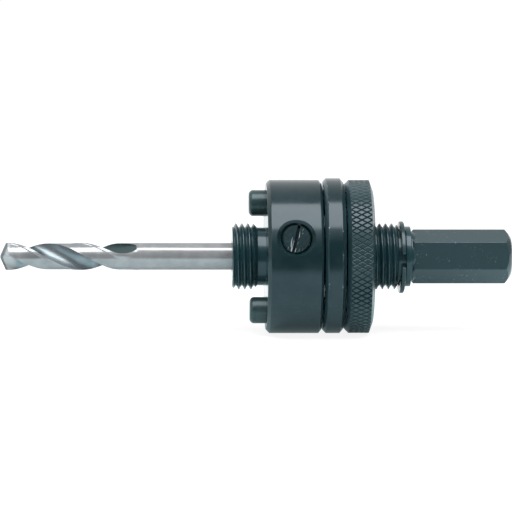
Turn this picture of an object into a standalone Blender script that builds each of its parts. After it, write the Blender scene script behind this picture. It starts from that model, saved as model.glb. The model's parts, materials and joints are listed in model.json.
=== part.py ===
# Hole saw arbor with its pilot drill, lying on its rims.
# +X runs from the drill point to the shank end, +Z is up, the drill point is at -X.
# The origin is under the middle of the overall length, on the surface the rims lie on.

import math

import bmesh
import bpy
from mathutils import Matrix, Vector

MM = 0.001

# Clearances and facets
GAP = 0.3 * MM                       # between any two pieces that touch or slide
ROUND_FACETS = 72                    # around the flange, plate and spindle
SMALL_FACETS = 24                    # around the pins and the set screw
ROLL_DEG = 9.0                       # how far a hex flat leans up from facing -Y

# Thread of spigot and spindle
THREAD_CREST_DIAMETER = 15.6 * MM
THREAD_PITCH = 1.4111 * MM           # 18 threads to the inch

# Front spigot
SPIGOT_LENGTH = 7.95 * MM
SPIGOT_CHAMFER = 0.6 * MM
RELIEF_DIAMETER = 13.7 * MM
RELIEF_LENGTH = 2.0 * MM

# Flange
FLANGE_DIAMETER = 36.2 * MM
FLANGE_THICKNESS = 13.0 * MM
FLANGE_CHAMFER_FRONT = 0.85 * MM
FLANGE_CHAMFER_REAR = 0.8 * MM

# Pin plate
PLATE_OVERSIZE = 0.4 * MM            # on the flange's diameter
PLATE_THICKNESS = 4.95 * MM
PLATE_CHAMFER_FRONT = 0.8 * MM
PLATE_CHAMFER_REAR = 1.1 * MM

# Drive pins
PIN_DIAMETER = 6.2 * MM
PIN_WALL_SHARE = 0.46875             # of the plate's spare wall that lies inside the pin holes
PIN_REACH = 3.9 * MM                 # how far a pin stands out of the flange
PIN_CHAMFER = 0.75 * MM
PIN_RECESS = 0.3 * MM                # back end below the plate's rear face

# Lock nut
NUT_UNDERSIZE = 0.1 * MM             # on the flange's diameter
NUT_WIDTH = 6.5 * MM
NUT_FRONT_CHAMFER = 0.7 * MM
NUT_REAR_CHAMFER_LENGTH = 0.8 * MM
NUT_REAR_CHAMFER_DEPTH = 2.25 * MM
NUT_BORE_CHAMFER = 0.6 * MM
KNURL_TEETH = 80                     # diamonds around the nut
KNURL_ROWS = 4                       # half diamonds along the nut
KNURL_DEPTH = 0.4 * MM
NUT_TURNS = 4.25                     # turns from the plate to the ring

# Retaining ring
RING_OUTER_DIAMETER = 17.0 * MM
RING_BAND = 1.8 * MM
RING_THICKNESS = 1.2 * MM
RING_OPENING_DEG = 22.0
RING_OPENING_AT_DEG = -7.0           # centre of the opening, up from the hex flat's aim
RING_DROP = 0.2 * MM                 # the loose ring hangs low in its groove

# Spindle end and hex shank
COLLAR_DIAMETER = 14.2 * MM
COLLAR_LENGTH = 0.85 * MM
HEX_ACROSS_FLATS = 11.1125 * MM      # seven sixteenths of an inch
HEX_LENGTH = 24.25 * MM
HEX_END_FLAT_DIAMETER = 8.2 * MM
HEX_END_CHAMFER_STEEP = 0.6 * MM
HEX_END_CHAMFER_LONG = 0.95 * MM

# Set screw
SCREW_DIAMETER = 7.5 * MM
SCREW_RECESS = 0.85 * MM             # below the flange's outside
SCREW_CHAMFER = 0.35 * MM
SCREW_SINK_DIAMETER = 8.9 * MM
SLOT_WIDTH = 1.2 * MM
SLOT_DEPTH = 1.7 * MM
SLOT_LEAN_DEG = 8.0                  # its upper end leans towards the shank
SCREW_AT_DEG = 13.0                  # up from the hex flat's aim

# Pilot drill
DRILL_DIAMETER = 6.35 * MM           # a quarter of an inch
DRILL_REACH = 54.55 * MM             # point to the front end of the spigot
DRILL_SEATED_LENGTH = 27.9 * MM      # inside the bore
DRILL_LEAD = 34.65 * MM              # one full turn of a flute
DRILL_POINT_DEG = 135.0
DRILL_WEB = 1.15 * MM
DRILL_LAND_STEP = 0.11 * MM          # the land's back sits this far below its margin
DRILL_FLUTE_DEG = 98.0               # mouth of a flute
DRILL_MARGIN_DEG = 12.0
DRILL_FLUTED_LENGTH = 32.3 * MM
DRILL_RUNOUT_LENGTH = 7.2 * MM
DRILL_FLUTE_AIM_DEG = -26.0          # flute's middle at the point, up from the hex flat's aim
DRILL_CHISEL_LENGTH = 1.2 * MM
DRILL_LIP_CLEARANCE_DEG = 11.0
DRILL_FLAT_DEPTH = 0.45 * MM
DRILL_FLAT_LEAD = 4.0 * MM           # flat's length ahead of the screw's axis
DRILL_END_CHAMFER = 0.45 * MM
FLUTE_SHARES = (-1.0, -0.85, -0.6, -0.3, 0.0, 0.3, 0.6, 0.85, 1.0)   # lip to heel
FLUTE_SECTIONS = 26                  # along the full flutes
RUNOUT_SECTIONS = 10
BORE_MOUTH_CHAMFER = 0.4 * MM
BORE_END_DEG = 118.0                 # the drilled bottom of the bore

# Places along the axis, each worked out from its neighbour
OVERALL = (DRILL_REACH + SPIGOT_LENGTH + FLANGE_THICKNESS + GAP + PLATE_THICKNESS + GAP
           + NUT_WIDTH + NUT_TURNS * THREAD_PITCH + GAP + RING_THICKNESS + GAP
           + COLLAR_LENGTH + HEX_LENGTH)
POINT_X = -OVERALL / 2
SPIGOT_FRONT_X = POINT_X + DRILL_REACH
FLANGE_FRONT_X = SPIGOT_FRONT_X + SPIGOT_LENGTH
FLANGE_REAR_X = FLANGE_FRONT_X + FLANGE_THICKNESS
PLATE_FRONT_X = FLANGE_REAR_X + GAP
PLATE_REAR_X = PLATE_FRONT_X + PLATE_THICKNESS
NUT_FRONT_X = PLATE_REAR_X + GAP
NUT_REAR_X = NUT_FRONT_X + NUT_WIDTH
RING_FRONT_X = NUT_REAR_X + NUT_TURNS * THREAD_PITCH + GAP
RING_REAR_X = RING_FRONT_X + RING_THICKNESS
COLLAR_FRONT_X = RING_REAR_X + GAP
COLLAR_REAR_X = COLLAR_FRONT_X + COLLAR_LENGTH
SHANK_END_X = COLLAR_REAR_X + HEX_LENGTH
SCREW_X = (FLANGE_FRONT_X + FLANGE_REAR_X) / 2

# Radii that follow from the sizes above
FLANGE_RADIUS = FLANGE_DIAMETER / 2
PLATE_RADIUS = (FLANGE_DIAMETER + PLATE_OVERSIZE) / 2
NUT_RADIUS = (FLANGE_DIAMETER - NUT_UNDERSIZE) / 2
THREAD_RADIUS = THREAD_CREST_DIAMETER / 2
DRILL_RADIUS = DRILL_DIAMETER / 2
BORE_RADIUS = DRILL_RADIUS + GAP
RING_INNER_RADIUS = RING_OUTER_DIAMETER / 2 - RING_BAND
GROOVE_RADIUS = RING_INNER_RADIUS - RING_DROP - GAP
HEX_CORNER_RADIUS = HEX_ACROSS_FLATS / math.sqrt(3)
FACET_APOTHEM = math.cos(math.pi / ROUND_FACETS)
AXIS_Z = FLANGE_RADIUS * FACET_APOTHEM
PLATE_RIM_LIFT = (PLATE_RADIUS - FLANGE_RADIUS) * FACET_APOTHEM
PLATE_BORE_RADIUS = THREAD_RADIUS + GAP
PIN_HOLE_RADIUS = PIN_DIAMETER / 2 + GAP
PIN_CIRCLE_RADIUS = (PLATE_BORE_RADIUS + PIN_HOLE_RADIUS + PIN_WALL_SHARE
                     * (FLANGE_RADIUS - PLATE_BORE_RADIUS - 2 * PIN_HOLE_RADIUS))


def material(name, colour, roughness, metallic):
    made = bpy.data.materials.new(name)
    made.use_nodes = True
    shader = made.node_tree.nodes["Principled BSDF"]
    shader.inputs["Base Color"].default_value = (*colour, 1.0)
    shader.inputs["Roughness"].default_value = roughness
    shader.inputs["Metallic"].default_value = metallic
    return made


def object_from(name, mesh_edit, finish, sharp_deg=30.0):
    """Turn a finished bmesh into a named object with its material."""
    bmesh.ops.recalc_face_normals(mesh_edit, faces=mesh_edit.faces)
    mesh = bpy.data.meshes.new(name)
    mesh_edit.to_mesh(mesh)
    mesh_edit.free()
    mesh.shade_smooth()
    mesh.set_sharp_from_angle(angle=math.radians(sharp_deg))
    made = bpy.data.objects.new(name, mesh)
    bpy.context.collection.objects.link(made)
    if finish is not None:
        mesh.materials.append(finish)
    return made


def cutter(made):
    """A guide or cutting shape, never part of the model itself."""
    made.hide_render = True
    made.display_type = "WIRE"
    return made


def boolean(made, operation, other):
    step = made.modifiers.new(operation.lower() + " " + other.name, "BOOLEAN")
    step.operation = operation
    step.solver = "EXACT"
    step.object = other


def aim(angle_deg):
    """Unit vector across the axis, up from facing -Y by the angle beyond the roll."""
    angle = math.radians(ROLL_DEG + angle_deg)
    return Vector((0.0, -math.cos(angle), math.sin(angle)))


def turned(profile, facets):
    """Revolve (along, radius) points about X. A facet, not a corner, faces straight down."""
    shape = bmesh.new()
    half = math.pi / facets
    start = Vector((0.0, -math.sin(half), -math.cos(half)))
    points = [shape.verts.new(Vector((along, 0.0, 0.0)) + radius * start) for along, radius in profile]
    lines = [shape.edges.new(pair) for pair in zip(points, points[1:])]
    bmesh.ops.spin(shape, geom=points + lines, cent=(0, 0, 0), axis=(1, 0, 0),
                   angle=2 * math.pi, steps=facets, use_merge=True, use_duplicate=False)
    bmesh.ops.remove_doubles(shape, verts=shape.verts, dist=1e-7)
    return shape


def at_axis(made, lift=0.0):
    """Put an object whose mesh is turned about X on the arbor's axis."""
    made.location = (0.0, 0.0, AXIS_Z + lift)
    return made


def hex_blank():
    """Six-sided bar from inside the collar to the shank end."""
    start = COLLAR_FRONT_X + GAP
    shape = bmesh.new()
    bmesh.ops.create_cone(shape, cap_ends=True, segments=6, radius1=HEX_CORNER_RADIUS,
                          radius2=HEX_CORNER_RADIUS, depth=SHANK_END_X - start)
    bar_along_x = Matrix.Rotation(math.pi / 2, 4, "Y")
    flat_to_front = Matrix.Rotation(math.pi / 6 - math.radians(ROLL_DEG), 4, "X")
    shape.transform(Matrix.Translation(((start + SHANK_END_X) / 2, 0, 0)) @ flat_to_front @ bar_along_x)
    return shape


def build_body(finish):
    cone_reach = COLLAR_DIAMETER / 2 - HEX_ACROSS_FLATS / 2 + GAP
    profile = [
        (SPIGOT_FRONT_X, 0.0),
        (SPIGOT_FRONT_X, THREAD_RADIUS - SPIGOT_CHAMFER),
        (SPIGOT_FRONT_X + SPIGOT_CHAMFER, THREAD_RADIUS),
        (FLANGE_FRONT_X - RELIEF_LENGTH - (THREAD_CREST_DIAMETER - RELIEF_DIAMETER) / 2, THREAD_RADIUS),
        (FLANGE_FRONT_X - RELIEF_LENGTH, RELIEF_DIAMETER / 2),
        (FLANGE_FRONT_X, RELIEF_DIAMETER / 2),
        (FLANGE_FRONT_X, FLANGE_RADIUS - FLANGE_CHAMFER_FRONT),
        (FLANGE_FRONT_X + FLANGE_CHAMFER_FRONT, FLANGE_RADIUS),
        (FLANGE_REAR_X - FLANGE_CHAMFER_REAR, FLANGE_RADIUS),
        (FLANGE_REAR_X, FLANGE_RADIUS - FLANGE_CHAMFER_REAR),
        (FLANGE_REAR_X, THREAD_RADIUS),
        (RING_FRONT_X - GAP, THREAD_RADIUS),
        (RING_FRONT_X - GAP, GROOVE_RADIUS),
        (COLLAR_FRONT_X, GROOVE_RADIUS),
        (COLLAR_FRONT_X, COLLAR_DIAMETER / 2),
        (COLLAR_REAR_X, COLLAR_DIAMETER / 2),
        (COLLAR_REAR_X + cone_reach, COLLAR_DIAMETER / 2 - cone_reach),
        (COLLAR_REAR_X + cone_reach, 0.0),
    ]
    body = at_axis(object_from("arbor_body", turned(profile, ROUND_FACETS), finish))

    outside = max(COLLAR_DIAMETER / 2, HEX_CORNER_RADIUS) + GAP
    middle = (HEX_CORNER_RADIUS + HEX_END_FLAT_DIAMETER / 2) / 2
    long_slope = (HEX_CORNER_RADIUS - middle) / HEX_END_CHAMFER_LONG
    end_profile = [
        (COLLAR_FRONT_X, 0.0),
        (COLLAR_FRONT_X, outside),
        (SHANK_END_X - HEX_END_CHAMFER_STEEP - (outside - middle) / long_slope, outside),
        (SHANK_END_X - HEX_END_CHAMFER_STEEP, middle),
        (SHANK_END_X, HEX_END_FLAT_DIAMETER / 2),
        (SHANK_END_X, 0.0),
    ]
    end_form = cutter(at_axis(object_from("shank_end_form", turned(end_profile, ROUND_FACETS), None)))
    shank = cutter(at_axis(object_from("shank_bar", hex_blank(), None)))
    boolean(shank, "INTERSECT", end_form)
    boolean(body, "UNION", shank)

    bore_end = SPIGOT_FRONT_X + DRILL_SEATED_LENGTH + GAP
    bore_profile = [
        (SPIGOT_FRONT_X - GAP, 0.0),
        (SPIGOT_FRONT_X - GAP, BORE_RADIUS + BORE_MOUTH_CHAMFER + GAP),
        (SPIGOT_FRONT_X + BORE_MOUTH_CHAMFER, BORE_RADIUS),
        (bore_end, BORE_RADIUS),
        (bore_end + BORE_RADIUS / math.tan(math.radians(BORE_END_DEG / 2)), 0.0),
    ]
    bore = cutter(at_axis(object_from("drill_bore_cut", turned(bore_profile, SMALL_FACETS * 2), None)))
    boolean(body, "DIFFERENCE", bore)

    for side in (1, -1):
        across = aim(SCREW_AT_DEG + 90.0) * (side * PIN_CIRCLE_RADIUS)
        hole_profile = [
            (FLANGE_FRONT_X - GAP, 0.0),
            (FLANGE_FRONT_X - GAP, PIN_HOLE_RADIUS),
            (FLANGE_REAR_X + GAP / 2, PIN_HOLE_RADIUS),
            (FLANGE_REAR_X + GAP / 2, 0.0),
        ]
        hole = object_from("pin_hole_cut", turned(hole_profile, SMALL_FACETS), None)
        cutter(at_axis(hole))
        hole.location += across
        boolean(body, "DIFFERENCE", hole)

    tapped_radius = SCREW_DIAMETER / 2 + GAP
    sink = SCREW_SINK_DIAMETER / 2
    sink_depth = sink - tapped_radius
    rim = math.sqrt(FLANGE_RADIUS ** 2 - sink ** 2) * FACET_APOTHEM
    screw_hole_profile = [
        (0.0, 0.0),
        (0.0, tapped_radius),
        (rim - sink_depth, tapped_radius),
        (rim, sink),
        (FLANGE_RADIUS + GAP, sink),
        (FLANGE_RADIUS + GAP, 0.0),
    ]
    screw_hole = object_from("set_screw_hole_cut", turned(screw_hole_profile, SMALL_FACETS * 2), None)
    cutter(along_aim(screw_hole, SCREW_AT_DEG))
    boolean(body, "DIFFERENCE", screw_hole)
    return body


def along_aim(made, angle_deg):
    """Stand an object whose mesh is turned about X along a direction across the axis."""
    made.rotation_mode = "QUATERNION"
    across = aim(angle_deg)
    basis = Matrix((across, Vector((1, 0, 0)).cross(across), Vector((1, 0, 0)))).transposed()
    made.rotation_quaternion = basis.to_quaternion()
    made.location = (SCREW_X, 0.0, AXIS_Z)
    return made


def build_plate(finish):
    profile = [
        (PLATE_FRONT_X, 0.0),
        (PLATE_FRONT_X, PLATE_RADIUS - PLATE_CHAMFER_FRONT),
        (PLATE_FRONT_X + PLATE_CHAMFER_FRONT, PLATE_RADIUS),
        (PLATE_REAR_X - PLATE_CHAMFER_REAR, PLATE_RADIUS),
        (PLATE_REAR_X, PLATE_RADIUS - PLATE_CHAMFER_REAR),
        (PLATE_REAR_X, 0.0),
    ]
    plate = object_from("pin_plate", turned(profile, ROUND_FACETS), finish)
    at_axis(plate, lift=PLATE_RIM_LIFT)
    for side, radius, facets in ((0, PLATE_BORE_RADIUS, ROUND_FACETS),
                                 (1, PIN_HOLE_RADIUS, SMALL_FACETS),
                                 (-1, PIN_HOLE_RADIUS, SMALL_FACETS)):
        hole_profile = [
            (PLATE_FRONT_X - GAP / 2, 0.0),
            (PLATE_FRONT_X - GAP / 2, radius),
            (PLATE_REAR_X + GAP / 2, radius),
            (PLATE_REAR_X + GAP / 2, 0.0),
        ]
        hole = cutter(at_axis(object_from("plate_hole_cut", turned(hole_profile, facets), None)))
        hole.location += aim(SCREW_AT_DEG + 90.0) * (side * PIN_CIRCLE_RADIUS)
        boolean(plate, "DIFFERENCE", hole)
    return plate


def build_pin(name, side, finish):
    front = FLANGE_FRONT_X - PIN_REACH
    back = PLATE_REAR_X - PIN_RECESS
    radius = PIN_DIAMETER / 2
    profile = [
        (front, 0.0),
        (front, radius - PIN_CHAMFER),
        (front + PIN_CHAMFER * 0.35, radius - PIN_CHAMFER * 0.35),
        (front + PIN_CHAMFER, radius),
        (back - PIN_CHAMFER / 2, radius),
        (back, radius - PIN_CHAMFER / 2),
        (back, 0.0),
    ]
    pin = at_axis(object_from(name, turned(profile, SMALL_FACETS), finish))
    pin.location += aim(SCREW_AT_DEG + 90.0) * (side * PIN_CIRCLE_RADIUS)
    return pin


def build_nut(finish):
    """Diamond knurl: crossing valleys on a grid of columns, a crest in each diamond."""
    shape = bmesh.new()
    columns = 2 * KNURL_TEETH
    band_front = NUT_FRONT_X + NUT_FRONT_CHAMFER
    band_rear = NUT_REAR_X - NUT_REAR_CHAMFER_LENGTH
    rings = [(NUT_FRONT_X, [NUT_RADIUS - NUT_FRONT_CHAMFER] * 2)]
    for row in range(KNURL_ROWS + 1):
        along = band_front + (band_rear - band_front) * row / KNURL_ROWS
        pair = [NUT_RADIUS - KNURL_DEPTH, NUT_RADIUS]
        rings.append((along, pair if row % 2 == 0 else pair[::-1]))
    rings.append((NUT_REAR_X, [NUT_RADIUS - NUT_REAR_CHAMFER_DEPTH] * 2))
    loops = []
    for along, pair in rings:
        loop = []
        for column in range(columns):
            angle = 2 * math.pi * (column + 0.5) / columns
            radius = pair[column % 2]
            loop.append(shape.verts.new((along, -radius * math.sin(angle), -radius * math.cos(angle))))
        loops.append(loop)
    for row, (ring, following) in enumerate(zip(loops, loops[1:])):
        for column in range(columns):
            nxt = (column + 1) % columns
            corners = (ring[column], ring[nxt], following[nxt], following[column])
            valley_first = (column + row) % 2 == 1
            if valley_first:
                shape.faces.new((corners[0], corners[1], corners[2]))
                shape.faces.new((corners[0], corners[2], corners[3]))
            else:
                shape.faces.new((corners[0], corners[1], corners[3]))
                shape.faces.new((corners[1], corners[2], corners[3]))
    shape.faces.new(loops[0])
    shape.faces.new(loops[-1])
    nut = at_axis(object_from("lock_nut", shape, finish, sharp_deg=20.0))

    bore = THREAD_RADIUS + GAP
    wide = bore + NUT_BORE_CHAMFER
    bore_profile = [
        (NUT_FRONT_X - GAP / 2, 0.0),
        (NUT_FRONT_X - GAP / 2, wide + GAP / 2),
        (NUT_FRONT_X + NUT_BORE_CHAMFER, bore),
        (NUT_REAR_X - NUT_BORE_CHAMFER, bore),
        (NUT_REAR_X + GAP / 2, wide + GAP / 2),
        (NUT_REAR_X + GAP / 2, 0.0),
    ]
    cut = cutter(at_axis(object_from("nut_bore_cut", turned(bore_profile, ROUND_FACETS), None)))
    boolean(nut, "DIFFERENCE", cut)
    return nut


def build_ring(finish):
    """Square-edged open ring: its section swept round from one end of the opening to the other."""
    opening = math.radians(RING_OPENING_DEG)
    middle = aim(RING_OPENING_AT_DEG)
    start = Matrix.Rotation(opening / 2, 3, "X") @ middle
    edge = RING_THICKNESS / 6
    outer = RING_OUTER_DIAMETER / 2
    section = [
        (RING_FRONT_X, RING_INNER_RADIUS),
        (RING_FRONT_X, outer - edge),
        (RING_FRONT_X + edge, outer),
        (RING_REAR_X - edge, outer),
        (RING_REAR_X, outer - edge),
        (RING_REAR_X, RING_INNER_RADIUS),
    ]
    shape = bmesh.new()
    face = shape.faces.new([shape.verts.new(Vector((along, 0, 0)) + radius * start)
                            for along, radius in section])
    bmesh.ops.spin(shape, geom=[face], cent=(0, 0, 0), axis=(1, 0, 0),
                   angle=2 * math.pi - opening, steps=ROUND_FACETS - 10, use_duplicate=False)
    return at_axis(object_from("retaining_ring", shape, finish), lift=-RING_DROP)


def build_screw(finish):
    tip = DRILL_RADIUS - DRILL_FLAT_DEPTH + GAP
    head = FLANGE_RADIUS - SCREW_RECESS
    radius = SCREW_DIAMETER / 2
    tip_radius = min(BORE_RADIUS, radius) * 0.75
    profile = [
        (tip, 0.0),
        (tip, tip_radius),
        (tip + (radius - tip_radius), radius),
        (head - SCREW_CHAMFER, radius),
        (head, radius - SCREW_CHAMFER),
        (head, 0.0),
    ]
    screw = object_from("set_screw", turned(profile, SMALL_FACETS), finish)
    along_aim(screw, SCREW_AT_DEG)
    slot_shape = bmesh.new()
    bmesh.ops.create_cube(slot_shape, size=1.0)
    slot_size = Matrix.Diagonal((SLOT_DEPTH * 2, SCREW_DIAMETER * 2, SLOT_WIDTH, 1.0))
    lean = Matrix.Rotation(-math.radians(SLOT_LEAN_DEG), 4, "X")
    slot_shape.transform(Matrix.Translation((head, 0, 0)) @ lean @ slot_size)
    slot = cutter(along_aim(object_from("slot_cut", slot_shape, None), SCREW_AT_DEG))
    boolean(screw, "DIFFERENCE", slot)
    return screw


def half_section(depth):
    """One flute and the land behind it, as (angle, radius, angle behind the lip), for half a turn.

    Angles in radians grow with the drill's cutting turn, so the flute comes first, from
    its cutting face at 0 to the heel of the land ahead. depth is 1 where the flute is
    full and falls to 0 where it has run out.
    """
    land_radius = DRILL_RADIUS - DRILL_LAND_STEP * depth
    web_radius = DRILL_WEB / 2
    middle = math.radians(DRILL_FLUTE_DEG) / 2
    narrow = math.sqrt(depth)

    # The flute is an arc that reaches from lip to heel and touches the web
    corner_out = DRILL_RADIUS * math.cos(middle)
    corner_across = DRILL_RADIUS * math.sin(middle)
    arc_centre = (DRILL_RADIUS ** 2 - web_radius ** 2) / (2 * (corner_out - web_radius))
    arc_radius = arc_centre - web_radius
    arc_span = math.atan2(corner_across, arc_centre - corner_out)
    points = []
    for share in FLUTE_SHARES:
        out = arc_centre - arc_radius * math.cos(share * arc_span)
        across = arc_radius * math.sin(share * arc_span)
        angle = middle + math.atan2(across, out) * narrow
        radius = math.hypot(out, across)
        behind = 0.0
        if share > 0.0:
            radius = min(radius, DRILL_RADIUS - DRILL_LAND_STEP)
            behind = math.pi - angle
        points.append((angle, DRILL_RADIUS - (DRILL_RADIUS - radius) * depth, behind))
    heel = points[-1][0]
    lip = math.pi + points[0][0]
    margin = math.radians(DRILL_MARGIN_DEG)
    step = margin * 0.25
    back = lip - margin - step - heel
    for share in (0.25, 0.5, 0.75, 1.0):
        points.append((heel + back * share, land_radius, lip - heel - back * share))
    points.append((lip - margin, DRILL_RADIUS, margin))
    points.append((lip - margin / 2, DRILL_RADIUS, margin / 2))
    return points


def build_drill(finish):
    """Two-flute twist drill, lofted from sections that turn with the helix."""
    turn_per_length = 2 * math.pi / DRILL_LEAD
    runout_from = DRILL_FLUTED_LENGTH - DRILL_RUNOUT_LENGTH
    twist_until = DRILL_FLUTED_LENGTH - DRILL_RUNOUT_LENGTH * 0.5
    flute_middle = math.radians(DRILL_FLUTE_DEG) / 2
    base = -math.radians(ROLL_DEG + DRILL_FLUTE_AIM_DEG) + flute_middle
    cone = 1 / math.tan(math.radians(DRILL_POINT_DEG / 2))
    clearance = math.tan(math.radians(DRILL_LIP_CLEARANCE_DEG))

    def ring(shape, distance, depth, scale=1.0, point=False):
        twist = base + turn_per_length * min(distance, twist_until)
        made = []
        for half in (0, 1):
            for angle, radius, behind in half_section(depth):
                reach = radius * scale
                along = reach * (cone + clearance * behind) if point else distance
                turn = twist - angle - half * math.pi + turn_per_length * (along - distance)
                made.append(shape.verts.new((POINT_X + along, -reach * math.cos(turn),
                                             -reach * math.sin(turn))))
        return made

    shape = bmesh.new()
    loops = [ring(shape, 0.0, 1.0, point=True)]
    land_span = math.pi - 2 * flute_middle
    body_from = DRILL_RADIUS * (cone + clearance * land_span) + GAP
    for index in range(FLUTE_SECTIONS + 1):
        share = index / FLUTE_SECTIONS
        loops.append(ring(shape, body_from + (runout_from - body_from) * share, 1.0))
    for index in range(1, RUNOUT_SECTIONS + 1):
        share = index / RUNOUT_SECTIONS
        distance = runout_from + DRILL_RUNOUT_LENGTH * share
        loops.append(ring(shape, distance, math.sqrt(1.0 - share * share)))
    end = DRILL_REACH + DRILL_SEATED_LENGTH
    loops.append(ring(shape, end - DRILL_END_CHAMFER, 0.0))
    loops.append(ring(shape, end, 0.0, scale=1.0 - DRILL_END_CHAMFER / DRILL_RADIUS))
    for loop, following in zip(loops, loops[1:]):
        count = len(loop)
        for index in range(count):
            nxt = (index + 1) % count
            shape.faces.new((loop[index], loop[nxt], following[nxt], following[index]))
    shape.faces.new(loops[-1])

    # The point closes on a short chisel edge that lies across the web
    first_loop = loops[0]
    half_count = len(first_loop) // 2
    chisel_turn = base - flute_middle
    chisel = []
    for side in (1, -1):
        reach = side * DRILL_CHISEL_LENGTH / 2
        chisel.append(shape.verts.new((POINT_X, -reach * math.cos(chisel_turn),
                                       -reach * math.sin(chisel_turn))))
    web_index = FLUTE_SHARES.index(0.0)
    for half in (0, 1):
        ends = chisel[half], chisel[1 - half]
        for step in range(half_count):
            index = (web_index + half * half_count + step) % len(first_loop)
            nxt = (index + 1) % len(first_loop)
            shape.faces.new((first_loop[index], first_loop[nxt], ends[1]))
        index = (web_index + half * half_count) % len(first_loop)
        shape.faces.new((first_loop[index], chisel[0], chisel[1]))
    bmesh.ops.remove_doubles(shape, verts=shape.verts, dist=1e-7)
    bmesh.ops.triangulate(shape, faces=[face for face in shape.faces if len(face.verts) == 4])
    drill = at_axis(object_from("pilot_drill", shape, finish, sharp_deg=35.0))

    flat_shape = bmesh.new()
    bmesh.ops.create_cube(flat_shape, size=1.0)
    flat_from = SCREW_X - DRILL_FLAT_LEAD
    flat_to = SPIGOT_FRONT_X + DRILL_SEATED_LENGTH + GAP
    flat_height = DRILL_RADIUS
    size = Matrix.Diagonal((flat_height, DRILL_DIAMETER * 1.5, flat_to - flat_from, 1.0))
    offset = Matrix.Translation((DRILL_RADIUS - DRILL_FLAT_DEPTH + flat_height / 2, 0,
                                 (flat_from + flat_to) / 2 - SCREW_X))
    flat_shape.transform(offset @ size)
    flat = cutter(along_aim(object_from("drill_flat_cut", flat_shape, None), SCREW_AT_DEG))
    boolean(drill, "DIFFERENCE", flat)
    return drill


for old in list(bpy.data.objects):
    bpy.data.objects.remove(old, do_unlink=True)

BLACK_OXIDE = material("black_oxide_steel", (0.045, 0.06, 0.062), 0.38, 0.9)
PIN_STEEL = material("black_pin_steel", (0.05, 0.065, 0.068), 0.32, 0.9)
RING_STEEL = material("ring_spring_steel", (0.14, 0.16, 0.16), 0.4, 0.9)
SCREW_STEEL = material("black_screw_steel", (0.03, 0.04, 0.042), 0.42, 0.9)
DRILL_STEEL = material("bright_tool_steel", (0.58, 0.62, 0.64), 0.22, 1.0)

build_body(BLACK_OXIDE)
build_plate(BLACK_OXIDE)
build_pin("drive_pin_upper", 1, PIN_STEEL)
build_pin("drive_pin_lower", -1, PIN_STEEL)
build_nut(BLACK_OXIDE)
build_ring(RING_STEEL)
build_screw(SCREW_STEEL)
build_drill(DRILL_STEEL)
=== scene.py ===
import json
import math

import bmesh
import bpy
from mathutils import Matrix, Vector


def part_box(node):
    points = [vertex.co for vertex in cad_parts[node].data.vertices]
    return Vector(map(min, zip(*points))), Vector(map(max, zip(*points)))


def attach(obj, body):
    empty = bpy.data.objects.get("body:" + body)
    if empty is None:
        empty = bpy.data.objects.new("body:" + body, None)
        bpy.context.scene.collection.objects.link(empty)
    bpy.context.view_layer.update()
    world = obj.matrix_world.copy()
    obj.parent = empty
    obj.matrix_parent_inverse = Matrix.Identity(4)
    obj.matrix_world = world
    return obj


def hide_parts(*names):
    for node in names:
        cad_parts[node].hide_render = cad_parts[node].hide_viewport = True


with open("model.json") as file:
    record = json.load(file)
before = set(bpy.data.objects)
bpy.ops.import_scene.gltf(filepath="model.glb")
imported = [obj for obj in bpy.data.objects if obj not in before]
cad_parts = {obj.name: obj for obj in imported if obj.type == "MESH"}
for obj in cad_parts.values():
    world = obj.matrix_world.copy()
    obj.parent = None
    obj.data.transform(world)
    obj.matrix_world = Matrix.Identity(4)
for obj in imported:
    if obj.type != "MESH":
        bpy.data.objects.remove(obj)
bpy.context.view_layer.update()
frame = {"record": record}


# Arbor body: one bar of steel, turned to a threaded spigot, a flange, a threaded spindle
# and a collar, with its hex shank left from the bar. It is bored for the drill, drilled
# for the two drive pins, cross tapped for the set screw and blackened all over.
mm = 0.001
joints = {joint["name"]: joint for joint in frame["record"]["behaviour"]["joints"]}
axis_z = joints["nut_turn"]["pos_m"][2]
on_axis = Matrix.Translation((0, 0, axis_z))
clearance = 0.3
spigot_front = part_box("arbor_body")[0][0] / mm
shank_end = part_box("arbor_body")[1][0] / mm
flange_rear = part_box("pin_plate")[0][0] / mm - clearance
flange_front = flange_rear - 13.0
flange_radius = 18.08
flange_corners = ((flange_front, 17.25), (flange_front + 0.83, flange_radius),
                  (flange_rear - 0.65, flange_radius), (flange_rear, 17.3))
groove_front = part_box("retaining_ring")[0][0] / mm - clearance
groove_radius = 6.2
collar_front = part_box("retaining_ring")[1][0] / mm + clearance
collar_rear = collar_front + 1.2
collar_radius = 7.1
neck_radius = 5.95
relief_radius = 6.85
thread_crest = 7.8
thread_blank = 7.82
thread_pitch = 1.4111
spigot_crest_at = -1.915
spindle_crest_at = 30.58
across_flats = 11.1125
flat_up_deg = 9.0
bore_radius = 3.32
bore_mouth = 4.8
bore_depth = 28.2
pin_circle = 13.0
pin_hole = 3.2
pin_mouth = 4.35
screw_aim = Vector(joints["set_screw_travel"]["axis"])
screw_up_deg = math.degrees(math.atan2(screw_aim.z, -screw_aim.y))
screw_x = (flange_front + flange_rear) / 2
screw_pitch = 1.25
screw_crest_at = 0.3
tap_radius = 4.25
tap_depth = 17.0
sink_radius = 4.6


def pick(piece):
    """Makes a piece the active one and the only one selected."""
    bpy.ops.object.select_all(action="DESELECT")
    piece.select_set(True)
    bpy.context.view_layer.objects.active = piece


def edit(piece):
    """Picks a piece and opens it in edit mode."""
    pick(piece)
    bpy.ops.object.mode_set(mode="EDIT")


def select(piece, kind, test):
    """Selects the open piece's vertices or edges that pass a test."""
    bpy.ops.mesh.select_mode(type=kind)
    bpy.ops.mesh.select_all(action="DESELECT")
    shape = bmesh.from_edit_mesh(piece.data)
    for element in {"VERT": shape.verts, "EDGE": shape.edges}[kind]:
        if test(element):
            element.select_set(True)
    shape.select_flush_mode()
    bmesh.update_edit_mesh(piece.data)


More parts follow.
